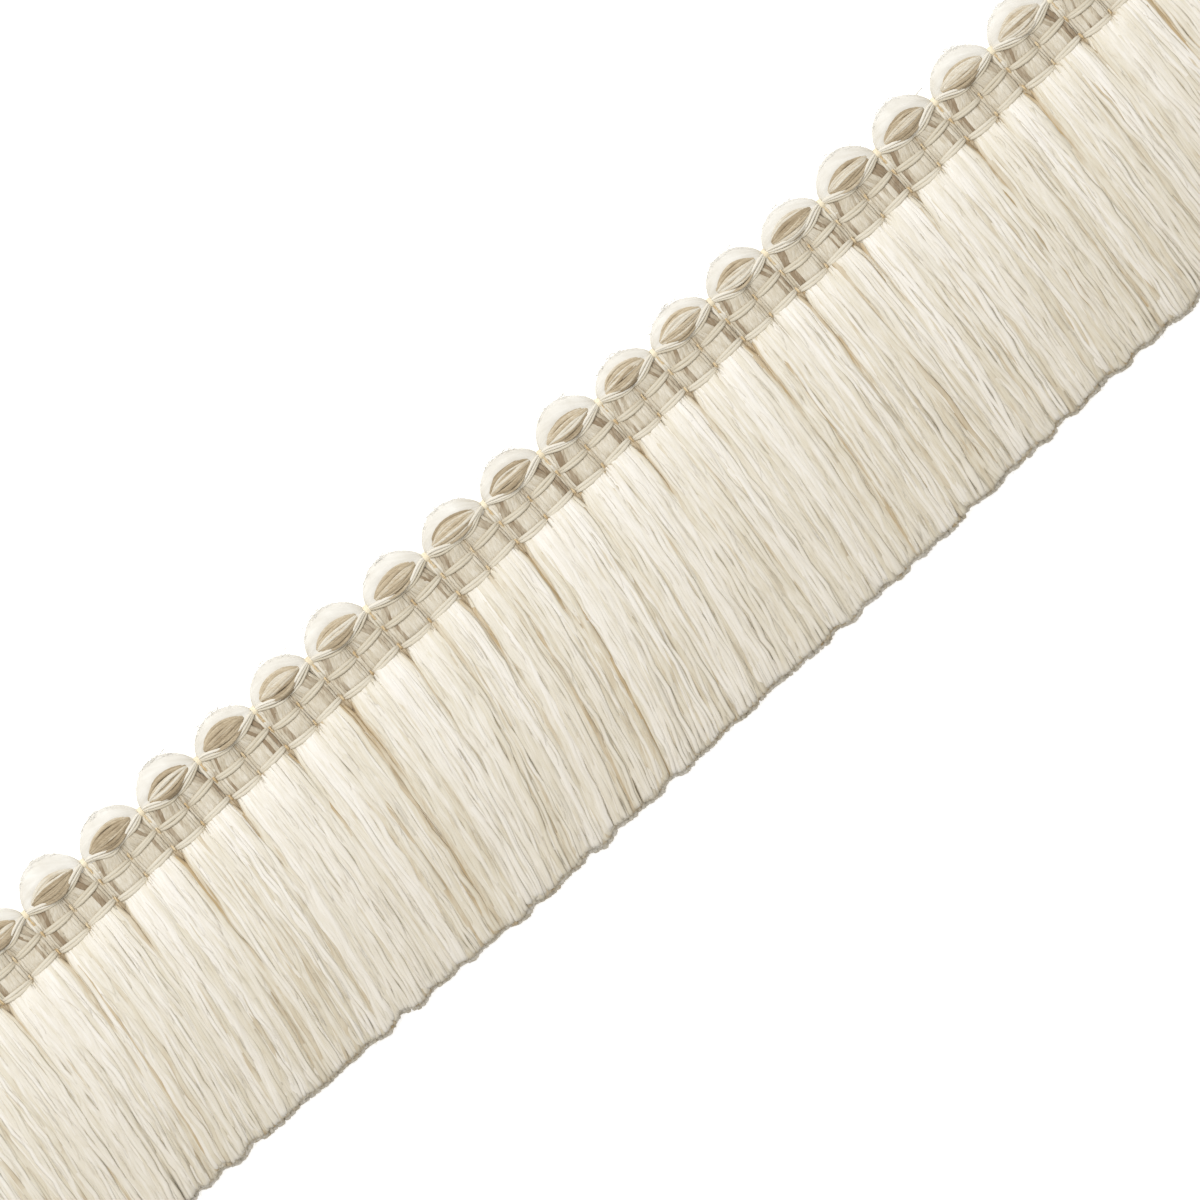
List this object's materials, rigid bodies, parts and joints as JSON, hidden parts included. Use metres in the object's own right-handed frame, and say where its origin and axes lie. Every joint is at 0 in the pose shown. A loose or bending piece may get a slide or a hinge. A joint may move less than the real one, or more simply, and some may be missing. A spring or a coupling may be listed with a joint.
{
  "type": "brush fringe trim",
  "caption": "Cut length of cream brush fringe with a padded loop edge, woven heading, twisted cords and a thick cut yarn skirt.",
  "frame": {"origin": "middle of the bounding box, on the plane of the flat back", "axes": "+X along the length of the trim, +Y towards the loop edge, +Z out of the face"},
  "size_m": [0.254, 0.0512, 0.0044],
  "materials": {
    "bleached_roving": "matte, softly fuzzy bleached roving",
    "taupe_linen": "matte, smooth taupe linen yarn",
    "cream_cord": "matte twisted cream cord",
    "heading_yarn": "matte linen and cotton yarn, woven in ribs",
    "brush_yarn": "matte cut yarn, brushed into tufts",
    "gold_thread": "fine golden sewing thread"
  },
  "bodies": {
    "root": {"loop_edge": "bleached_roving", "swag_cord": "cream_cord", "heading_band": "heading_yarn", "upper_cord": "cream_cord", "lower_cord": "cream_cord", "brush_skirt": "brush_yarn"}
  },
  "joints": []
}
